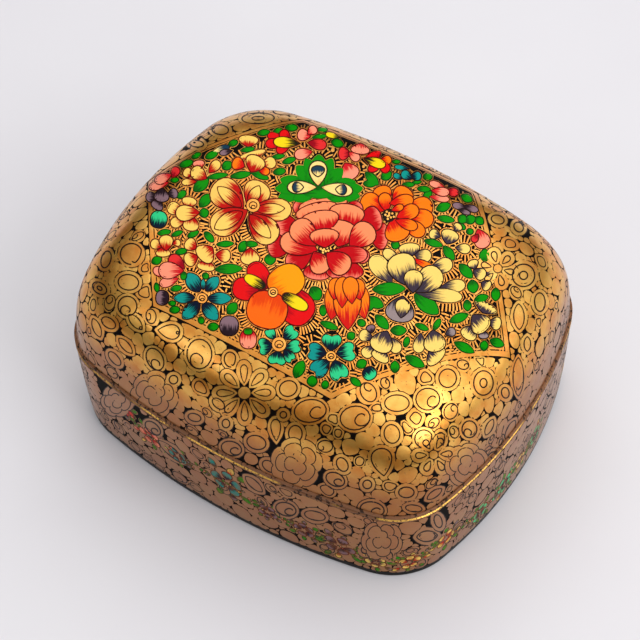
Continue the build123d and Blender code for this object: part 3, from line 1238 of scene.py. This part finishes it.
def drawPanel(paint, gold):
    # gives back the places of all petals and leaves, and the outer points of their gold lines
    motifs, outlinePixels = [], []
    for name, (edge, shape, listing) in flowers.items():
        petals = list(petalsOf(listing, shape))
        canvas = ViewCanvas(*petals[0][1][:2])
        crown = canvas.centre.z > petalLook["crownHeight"] * mm
        step = petalLook["crownStep" if crown else "sideStep"] * mm
        lift = (petalLook["firstLift"] + petalLook["raised"].get(name, 0)) * mm
        for colours, petal, own in petals:
            outlinePixels += drawPetal(paint, gold, canvas, petal, own, colours, edge, lift, step)
            motifs.append(petal)
            lift += step
        if name in flowerHearts:
            drawHeart(paint, gold, name)
    for leaf in leaves:
        canvas = ViewCanvas(*leaf[:2])
        lift = petalLook["firstLift"] * mm + random.uniform(0, 0.006) * mm
        shape = "leaf" if leaf[4] > 6 else "oval"
        step = petalLook["sideStep"] * mm
        outlinePixels += drawPetal(paint, gold, canvas, leaf, shape, "leaf", "green", lift, step)
        motifs.append(leaf)
    return motifs, outlinePixels


def viewPoint(point):
    # where a place on the box shows in the view
    right, up, back = cameraAxes()
    away = point - cameraPlace
    depth = -away.dot(back)
    lens = cameraView["lensPixels"]
    centreX, centreY = cameraView["centre"]
    return centreX + away.dot(right) / depth * lens, centreY - away.dot(up) / depth * lens


combLook = {
    "spacing": 2.35,  # between hairs, in pixels
    "width": 1.5,
    "longest": 7.5,
    "lift": 0.045 * mm,
    "middle": (324, 249),  # a place on the top, for the canvas
    "edgeRoom": 5.4,  # from the middle of the panel's frame
    "fillTries": 12000,
    "fillSizes": (1.05, 2.6),
}


class PixelGrid:
    # things with a place in the view, found quickly
    def __init__(self, cell=12):
        self.cell, self.cells = cell, {}

    def add(self, x, y, thing, reach=0):
        low = int((x - reach) // self.cell), int((y - reach) // self.cell)
        high = int((x + reach) // self.cell), int((y + reach) // self.cell)
        for a in range(low[0], high[0] + 1):
            for b in range(low[1], high[1] + 1):
                self.cells.setdefault((a, b), []).append(thing)

    def at(self, x, y):
        return self.cells.get((int(x // self.cell), int(y // self.cell)), ())

    def around(self, x, y):
        a, b = int(x // self.cell), int(y // self.cell)
        for m in (-1, 0, 1):
            for n in (-1, 0, 1):
                yield from self.cells.get((a + m, b + n), ())


def ovalOf(petal, grow):
    startX, startY, endX, endY, width = petal
    runX, runY = endX - startX, endY - startY
    length = math.hypot(runX, runY)
    middle = (startX + runX * 0.55, startY + runY * 0.55)
    return (*middle, runX / length, runY / length, length * 0.5 + grow, width / 2 + grow)


def within(oval, x, y):
    middleX, middleY, cosine, sine, half, wide = oval
    x, y = x - middleX, y - middleY
    return ((x * cosine + y * sine) / half) ** 2 + ((y * cosine - x * sine) / wide) ** 2 < 0.93


def panelCorners():
    return [viewPoint(lidSkin.tree.ray_cast(Vector((x * mm, y * mm, aloft)), -upward)[0])
            for x, y in panel["corners"]]


def panelRoom(corners, x, y):
    # pixels inside the frame's middle line
    room = 1e9
    for (aX, aY), (bX, bY) in zip(corners, corners[1:] + corners[:1]):
        runX, runY = bX - aX, bY - aY
        room = min(room, -(runX * (y - aY) - runY * (x - aX)) / math.hypot(runX, runY))
    return room


def combReach(x, y, outX, outY, bodies, ovals, corners):
    # how far a hair may grow before it meets a motif, the frame or the side of another hair
    reach = 0.8
    while reach < combLook["longest"]:
        hairX, hairY = x + outX * reach, y + outY * reach
        if panelRoom(corners, hairX, hairY) < combLook["edgeRoom"] * 0.6:
            break
        if any(within(oval, hairX, hairY) for oval in ovals.at(hairX, hairY)):
            return reach + 0.4
        if any(math.hypot(px - hairX, py - hairY) < combLook["spacing"] * 0.8
               for px, py in bodies.around(hairX, hairY)):
            break
        reach += 0.6
    return reach - 0.3


def hair(x, y, outX, outY, reach, bend):
    # a slightly bent line from a motif's edge outwards
    def curve(share):
        away, aside = reach * share, bend * share**2
        return x + outX * away - outY * aside, y + outY * away + outX * aside

    return curve


def drawCombs(gold, motifs, outlinePixels):
    bodies, ovals, started, filled = PixelGrid(), PixelGrid(16), PixelGrid(), PixelGrid(8)
    corners = panelCorners()
    for x, y in outlinePixels:
        filled.add(x, y, (x, y, 0.6))
    rounds = [ovalOf(petal, petalLook["goldEdge"]) for petal in motifs]
    for oval in rounds:
        ovals.add(oval[0], oval[1], oval, max(oval[4], oval[5]))
    canvas = ViewCanvas(*combLook["middle"])
    count = 0
    for middleX, middleY, cosine, sine, half, wide in rounds:
        steps = max(8, int(math.pi * (half + wide) / 1.2))
        for n in range(steps):
            angle = 2 * math.pi * n / steps
            along, across = half * math.cos(angle), wide * math.sin(angle)
            x, y = middleX + along * cosine - across * sine, middleY + along * sine + across * cosine
            normalX, normalY = math.cos(angle) / half, math.sin(angle) / wide
            size = math.hypot(normalX, normalY)
            outX = (normalX * cosine - normalY * sine) / size
            outY = (normalX * sine + normalY * cosine) / size
            if any(math.hypot(a - x, b - y) < combLook["spacing"] for a, b in started.around(x, y)):
                continue
            if any(within(other, x + outX * 0.8, y + outY * 0.8) for other in ovals.at(x, y)):
                continue
            reach = combReach(x, y, outX, outY, bodies, ovals, corners)
            if reach < 1.6:
                continue
            started.add(x, y, (x, y))
            curve = hair(x, y, outX, outY, reach, random.uniform(0.2, 0.9))
            width = combLook["width"] * random.uniform(0.8, 1.15)
            place = laidCurve(canvas, curve, combLook["lift"], width, 0.75)
            gold.stamp("dash", laidGold(place, random.uniform(0.5, 1)))
            for step in range(1, int(reach) + 1):
                spotX, spotY = curve(step / reach)
                bodies.add(spotX, spotY, (spotX, spotY))
                filled.add(spotX, spotY, (spotX, spotY, combLook["width"] * 0.5 + 0.25))
            count += 1
    print("comb hairs", count)
    fillPanel(gold, canvas, corners, ovals, filled)


def fillPanel(gold, canvas, corners, ovals, filled):
    small, large = combLook["fillSizes"]
    left, right = min(x for x, y in corners), max(x for x, y in corners)
    top, bottom = min(y for x, y in corners), max(y for x, y in corners)
    count = 0
    for n in range(combLook["fillTries"]):
        x, y = random.uniform(left, right), random.uniform(top, bottom)
        radius = min(large, panelRoom(corners, x, y) - combLook["edgeRoom"] * 0.75)
        if radius < small or any(within(oval, x, y) for oval in ovals.at(x, y)):
            continue
        for a, b, size in filled.around(x, y):
            radius = min(radius, math.hypot(a - x, b - y) - size)
            if radius < small:
                break
        if radius < small:
            continue
        turn = random.uniform(0, math.pi)
        runX, runY = math.cos(turn) * radius * 1.15, math.sin(turn) * radius * 1.15
        dab = (x - runX, y - runY, x + runX, y + runY, radius * 1.9)
        tone = random.uniform(0.4, 1)
        gold.stamp("dab", laidGold(laidPetal(canvas, dab, "oval", combLook["lift"], 0, 0), tone))
        filled.add(x, y, (x, y, radius + 0.45))
        count += 1
    print("panel fill dabs", count)


def laidSide(first, second, offset, width, lift):
    # one side of the frame, between two corners that each have their mitre
    def place(x, y):
        inwards = offset + y * width / 2
        flat = (first[0] + first[1] * inwards).lerp(second[0] + second[1] * inwards, x)
        spot, flatNormal, index, away = lidSkin.tree.ray_cast(Vector((flat.x, flat.y, aloft)), -upward)
        facing = lidSkin.facing(spot, index)
        return spot + facing * (lift - lidSkin.sunk), facing, Vector((0.9, 0, 0))

    return place


def drawFrameLine(sheet, offset, width, lift):
    # gold lines round the panel, straight as seen from above, offset inwards
    corners = [Vector((x * mm, y * mm)) for x, y in panel["corners"]]
    mitred = []
    for before, here, after in zip(corners[-1:] + corners[:-1], corners, corners[1:] + corners[:1]):
        first, second = (here - before).normalized(), (after - here).normalized()
        firstIn, secondIn = Vector((-first.y, first.x)), Vector((-second.y, second.x))
        mitre = (firstIn + secondIn).normalized()
        mitred.append((here, mitre / mitre.dot(firstIn)))
    for first, second in zip(mitred, mitred[1:] + mitred[:1]):
        sheet.stamp("long", laidSide(first, second, offset, width, lift))


def makePanel():
    paint = Sheet("panelPaint", lidSkin, finishes["paint"], "painted_lid")
    gold = Sheet("panelGold", lidSkin, finishes["line"], "painted_lid")
    drawCombs(gold, *drawPanel(paint, gold))
    drawFrameLine(gold, 0, panel["goldWidth"] * mm, panel["goldLift"])
    inside = (panel["goldWidth"] / 2 + panel["blackWidth"] + panel["lineWidth"] / 2) * mm
    drawFrameLine(gold, inside, panel["lineWidth"] * mm, panel["lineLift"])
    paint.make()
    gold.make()


random.seed(5)
makePanel()
print("panel made")


# ---- figures in the gold ground, and the garland round the base ----
# a kind, then its figures as start, end and width in pixels of the view, and the shape where it isn't an oval
groundFigures = (
    "hook", (157, 330, 180, 333, 16, "drop"), "snail", (199, 339, 199, 369, 25), (149, 349, 160, 370, 16),
    "curl", (229, 352, 231, 367, 12), "loop", (173, 375, 173, 385, 10), "snail", (294, 413, 326, 409, 23),
    "loop", (283, 411, 283, 419, 8), (279, 392, 297, 385, 17), (276, 442, 275, 419, 11, "drop"),
    (295, 425, 295, 443, 15), (225, 419, 226, 429, 9), (187, 416, 201, 420, 9),
    "snail", (221, 446, 241, 452, 14), "loop", (246, 440, 266, 446, 15), "curl", (131, 243, 131, 264, 22),
    "loop", (117, 281, 139, 283, 17), "snail", (127, 296, 127, 316, 19), "ring", (92, 283, 106, 293, 12),
    "loop", (101, 318, 115, 328, 11), "hook", (128, 314, 142, 330, 10, "leaf"),
    "loop", (118, 338, 132, 354, 9, "leaf"), (448, 368, 448, 388, 19), "ring", (484, 370, 484, 396, 21),
    "loop", (505, 387, 507, 399, 9), "snail", (416, 399, 440, 399, 22), "loop", (384, 403, 410, 403, 18),
    "snail", (340, 420, 370, 416, 24), "loop", (390, 424, 394, 444, 17), "curl", (424, 430, 424, 448, 18),
    "loop", (444, 446, 440, 432, 8, "drop"), (519, 357, 519, 397, 12, "leaf"),
    (519, 303, 520, 330, 12, "leaf"), "snail", (470, 421, 470, 438, 15),
    "loop", (494, 419, 486, 436, 8, "leaf"), (384, 477, 380, 448, 22, "drop"), (398, 493, 415, 493, 12),
    (491, 217, 505, 221, 10), (515, 222, 523, 231, 10), (211, 128, 229, 130, 11), (188, 142, 204, 144, 8),
    "ring", (241, 118, 275, 117, 12), (524, 263, 524, 287, 24), "loop", (362, 484, 372, 486, 10),
    (427, 500, 443, 489, 8, "leaf"), "snail", (360, 508, 384, 512, 15), "loop", (405, 508, 423, 510, 8),
    (158, 440, 185, 463, 9, "leaf"), (245, 476, 263, 492, 9, "leaf"), "snail", (276, 506, 296, 512, 13),
    "loop", (304, 513, 326, 518, 10), (416, 537, 438, 535, 12, "leaf"), (361, 548, 369, 552, 8),
    (385, 553, 393, 557, 8), (436, 514, 440, 528, 9), (108, 352, 120, 366, 9),
    (100, 338, 92, 318, 9, "leaf"), (212, 399, 224, 409, 10), (338, 458, 346, 472, 12),
    "snail", (326, 476, 344, 484, 13), "loop", (528, 336, 528, 352, 8, "leaf"), (497, 452, 487, 466, 10),
    (516, 420, 506, 440, 8, "leaf"), (540, 292, 541, 312, 12), (108, 250, 103, 268, 11),
    (262, 462, 276, 472, 11), "snail", (146, 422, 160, 434, 10),
)
roundFigures = (
    # kind, middle and size in pixels
    ("daisy", 244, 393, 31), ("bloom", 154, 395, 26), ("bloom", 296, 464, 28), ("daisy", 434, 455, 21),
    ("bloom", 468, 466, 24), ("bloom", 382, 540, 22), ("daisy", 498, 268, 20), ("bloom", 118, 400, 18),
)
figureLook = {
    "goldRim": 3.0,
    "inkWidth": 1.4,
    "shadowRim": 1.0,
    "lift": 0.062 * mm,
    "goldStep": 0.007 * mm,  # gold above its shadow
    "inkStep": 0.016 * mm,
    "heartStep": 0.03 * mm,
    "pixel": 0.277 * mm,  # the size on the box of a pixel of the view
    "tries": 2500,
    "widest": 9 * mm,
}


class FlatPixels(Canvas):
    # any patch of skin, in units as small as a pixel
    def at(self, x, y, lift):
        unit = figureLook["pixel"]
        return Canvas.at(self, x * unit, -y * unit, lift)


def reserve(crowd, canvas, petal, grow):
    # the ground's dabs keep clear of a figure
    startX, startY, endX, endY, width = petal
    length = math.hypot(endX - startX, endY - startY)
    radius = min(width, length) / 2 + grow
    steps = max(1, int((length - width) / (radius * 0.6)) + 1) if length > width else 1
    for n in range(steps + 1):
        share = width / 2 / length + (1 - width / length) * n / steps if length > width else 0.5
        x, y = startX + (endX - startX) * share, startY + (endY - startY) * share
        spot, facing = canvas.at(x, y, 0)
        beside, below = canvas.at(x + radius, y, 0)[0], canvas.at(x, y + radius, 0)[0]
        size = min((beside - spot).length, (below - spot).length)
        crowd.add(Dab(spot + facing * canvas.skin.sunk, facing, size * 0.86, fixed=True))


def rayPetal(angle, near, far, width):
    # a petal that points away from a flower's middle
    cosine, sine = math.cos(angle), math.sin(angle)
    return near * cosine, near * sine, far * cosine, far * sine, width


def goldPetal(ground, canvas, petal, shape, grow, lift):
    ground.ink.stamp("blob", laidPetal(canvas, petal, shape, lift, grow + figureLook["shadowRim"], 0))
    rimmed = laidPetal(canvas, petal, shape, lift + figureLook["goldStep"], grow, 0)
    ground.gold.stamp("blob", laidGold(rimmed, random.random()))


def drawFigure(ground, canvas, kind, shape, petal):
    ink = ground.ink
    lift, rim, inkWidth = figureLook["lift"], figureLook["goldRim"], figureLook["inkWidth"]
    goldPetal(ground, canvas, petal, shape, rim, lift)
    reserve(ground.crowd, canvas, petal, rim + 0.4)
    above = lift + figureLook["inkStep"]
    startX, startY, endX, endY, width = petal
    x, y = (startX + endX) / 2, (startY + endY) / 2
    length = math.hypot(endX - startX, endY - startY)
    turn = math.atan2(endY - startY, endX - startX)
    if kind in ("snail", "curl"):
        curve = snailOval(length / 2, width / 2, turn, 5.5 if kind == "snail" else 1.5, kind == "curl")
        ink.stamp("curl", laidCurve(ShiftedCanvas(canvas, x, y), curve, above, inkWidth, 0.8))
        return
    ink.stamp("loop", laidOutline(canvas, petal, shape, above, inkWidth))
    if kind == "ring":
        ring = (x - 0.2 * (endX - startX), y - 0.2 * (endY - startY),
                x + 0.2 * (endX - startX), y + 0.2 * (endY - startY), width * 0.4)
        ink.stamp("loop", laidOutline(canvas, ring, "oval", above, inkWidth))
    if kind == "hook":
        far = (endX - 0.12 * (endX - startX), endY - 0.12 * (endY - startY))
        ring = (far[0] - 2, far[1], far[0] + 2, far[1], 4)
        ink.stamp("loop", laidOutline(canvas, ring, "oval", above, inkWidth))


def snailOval(long, wide, turn, curl, opened):
    # an oval line that runs on into a curl inside one end, or stays open
    cosine, sine = math.cos(turn), math.sin(turn)
    whole = math.pi * (1.45 if opened else 2)

    def curve(share):
        angle = share * (whole + curl)
        inward = min(1, max(0, angle - whole * 0.95) / curl)
        size = 1 - inward * 0.82
        pull = 0.55 * min(1, inward * 1.5)
        x = long * (size * math.cos(angle) + pull)
        y = wide * size * math.sin(angle)
        return x * cosine - y * sine, x * sine + y * cosine

    return curve


def drawDaisy(ground, canvas, size):
    lift = figureLook["lift"]
    above = lift + figureLook["heartStep"]
    turn = random.uniform(0, 1)
    count = 6 if size < 26 else 8
    for n in range(count):
        angle = turn + 2 * math.pi * n / count
        petal = rayPetal(angle, size * 0.3, size * random.uniform(0.92, 1.02), size * 2.9 / count)
        goldPetal(ground, canvas, petal, "drop", 2.4, lift + 0.003 * n * mm)
        reserve(ground.crowd, canvas, petal, 2)
        inner = tuple(part * 0.95 for part in petal[:4]) + (petal[4] * 0.8,)
        ground.ink.stamp("loop", laidOutline(canvas, inner, "drop", above, figureLook["inkWidth"], -0.4))
    heart = (0, size * 0.2, 0, -size * 0.2, size * 0.4)
    goldPetal(ground, canvas, heart, "oval", 0, above)
    reserve(ground.crowd, canvas, heart, 3)


roseLayers = (
    # turn, middle distance, petal length and width as shares of the size, count
    (0.2, 0.62, 0.62, 0.7, 7), (0.6, 0.4, 0.66, 0.62, 5), (0.1, 0.16, 0.5, 0.46, 3),
)


def drawBloom(ground, canvas, size):
    lift = figureLook["lift"]
    start = random.uniform(0, 6)
    step = 0
    for turn, middle, length, width, count in roseLayers:
        for n in range(count):
            angle = start + turn + 2 * math.pi * n / count
            near, far = (middle - length / 2) * size, (middle + length / 2) * size
            petal = rayPetal(angle, near, far, width * size)
            goldPetal(ground, canvas, petal, "drop", 0, lift + step * mm)
            step += 0.0035
    reserve(ground.crowd, canvas, (0, size, 0, -size, size * 2), 0.5)


garlandLook = {
    "height": 9.5,
    "colours": ("pink", "teal", "mauve", "cream", "sea", "crimson", "silver"),
    "hiddenSteps": 140,
    "sprigSpacing": 7,  # pixels
    "sprigSize": 5.5,
    "posyGrowth": 1.4,
    "lift": 0.062 * mm,
    "step": 0.006 * mm,
}
garlandSpots = (
    # colours, middle and size in pixels of the view
    ("crimson", 124, 408, 9), ("pink", 150, 436, 10), ("teal", 178, 456, 8), ("teal", 226, 482, 14),
    ("mauve", 268, 512, 8), ("mauve", 304, 530, 9), ("mauve", 340, 546, 12), ("silver", 376, 562, 8),
    ("cream", 410, 562, 9), ("cream", 446, 538, 9), ("sea", 480, 512, 9), ("sea", 504, 484, 10),
    ("silver", 520, 460, 8), ("sea", 535, 434, 9),
)


def drawPosy(paint, gold, canvas, colours, size):
    # a small loose flower of the garland with a few leaves behind it
    turn = random.uniform(0, 6)
    lift, step = garlandLook["lift"], garlandLook["step"]
    for n in range(7):
        angle = turn + 2 * math.pi * (n + random.uniform(-0.3, 0.3)) / 7
        near = size * random.uniform(0.9, 1.15)
        far = near + size * random.uniform(0.4, 0.7)
        leaf = rayPetal(angle, near, far, size * random.uniform(0.26, 0.4))
        colour = "leaf" if n % 3 else random.choice(("cream", "mauve", colours))
        drawPetal(paint, gold, canvas, leaf, "leaf", colour, "green", lift, step)
    for n in range(5):
        angle = turn + 2 * math.pi * (n + random.uniform(-0.15, 0.15)) / 5
        far = size * random.uniform(0.8, 1.05)
        petal = rayPetal(angle, 0.3 * far, far, size * random.uniform(0.5, 0.68))
        drawPetal(paint, gold, canvas, petal, "drop", colours, "warm", lift + 0.01 * mm, step)


def drawSprig(paint, gold, canvas, size):
    # loose leaves and buds that carry the garland from one flower to the next
    for n in range(3):
        angle = random.uniform(0, 6.3)
        x, y = random.uniform(-1, 1) * size, random.uniform(-1, 1) * size
        half = size * random.uniform(0.25, 0.45)
        runX, runY = half * math.cos(angle), half * math.sin(angle)
        colour = random.choice(("leaf", "leaf", "leaf", "mauve", "cream", "pink"))
        petal = (x - runX, y - runY, x + runX, y + runY, half * random.uniform(0.9, 1.3))
        lift = garlandLook["lift"] + 0.004 * n * mm
        drawPetal(paint, gold, canvas, petal, "leaf", colour, "green", lift, 0.004 * mm)


def hidden(point):
    # true where the place does not show in the view
    x, y = viewPoint(point)
    found = seenAt(x, y)
    return not found or (found[1] - point).length > 2.5 * mm


def randomFigures(ground, room):
    kinds = ("loop", "snail", "loop", "ring", "curl", "daisy", "bloom", "loop")
    made = 0
    skin, crowd = ground.gold.skin, ground.crowd
    for point, normal in randomPlaces(skin, figureLook["tries"]):
        kind = random.choice(kinds)
        large = kind in ("daisy", "bloom")
        size = random.uniform(15, 24) if large else random.uniform(5, 11)
        radius = (size + 4) * figureLook["pixel"]
        if room(point) < radius or not crowd.room(point, radius, figureLook["widest"]) or not hidden(point):
            continue
        turned = Matrix.Rotation(random.uniform(0, 6), 3, normal) @ normal.orthogonal()
        canvas = FlatPixels(skin, point, turned, normal)
        if kind == "daisy":
            drawDaisy(ground, canvas, size)
        elif kind == "bloom":
            drawBloom(ground, canvas, size)
        else:
            petal = (0, -size, 0, size, size * random.uniform(1, 1.7))
            shape = random.choice(("oval", "drop", "leaf")) if kind == "loop" else "oval"
            drawFigure(ground, canvas, kind, shape, petal)
        made += 1
    print(ground.gold.name, "figures out of view", made)


def placedFigures(grounds):
    for kind, petal, shape in petalsOf(groundFigures, "oval"):
        canvas = ViewCanvas((petal[0] + petal[2]) / 2, (petal[1] + petal[3]) / 2)
        drawFigure(grounds[canvas.skin.body], canvas, kind, shape, petal)
    for kind, x, y, size in roundFigures:
        canvas = ShiftedCanvas(ViewCanvas(x, y), x, y)
        draw = drawDaisy if kind == "daisy" else drawBloom
        draw(grounds[canvas.skin.body], canvas, size)


def wallPixels(x, y):
    # a flat patch of the base's wall where it shows at a place in the view
    hit = baseSkin.struck(viewRay(x, y))
    spot, facing = (hit[0], hit[1]) if hit else nearestSeen(x, y)[1:]
    return FlatPixels(baseSkin, spot, facing.orthogonal(), facing)


def makeGarland(paint, gold):
    look = garlandLook
    for spot, following in zip(garlandSpots, garlandSpots[1:] + (None,)):
        colours, x, y, size = spot
        drawPosy(paint, gold, wallPixels(x, y), colours, size * look["posyGrowth"])
        if following:
            runX, runY = following[1] - x, following[2] - y
            steps = int(math.hypot(runX, runY) / look["sprigSpacing"])
            for n in range(1, steps):
                share = n / steps
                drawSprig(paint, gold, wallPixels(x + runX * share, y + runY * share), look["sprigSize"])
    for n in range(look["hiddenSteps"]):
        angle = 2 * math.pi * n / look["hiddenSteps"]
        way = Vector((math.cos(angle), math.sin(angle), 0))
        height = (look["height"] + 2.2 * math.sin(n * 0.6)) * mm
        spot, facing = baseSkin.under(way * 75 * mm + upward * height, 0)
        if not hidden(spot):
            continue
        canvas = FlatPixels(baseSkin, spot, facing.orthogonal(), facing)
        if n % 4:
            drawSprig(paint, gold, canvas, look["sprigSize"] * 1.2)
        else:
            colours = look["colours"][n // 4 % len(look["colours"])]
            drawPosy(paint, gold, canvas, colours, random.uniform(9, 13))


random.seed(11)
lid = Ground("lid", lidSkin, "painted_lid")
base = Ground("base", baseSkin, "painted_base")
basePaint = Sheet("basePaint", baseSkin, finishes["shadedWornPaint"], "painted_base")
makeGarland(basePaint, base.gold)
placedFigures({"lid": lid, "base": base})
randomFigures(lid, lidRoom)
randomFigures(base, baseRoom)
fillGround(lid, lidRoom)
fillGround(base, baseRoom)
print("dabs", len(lid.crowd.dabs), len(base.crowd.dabs))
drawDabs(lid, lidWalls)
drawDabs(base, baseWalls)
for sheet in (lid.gold, lid.ink, base.gold, base.ink, basePaint):
    sheet.make()
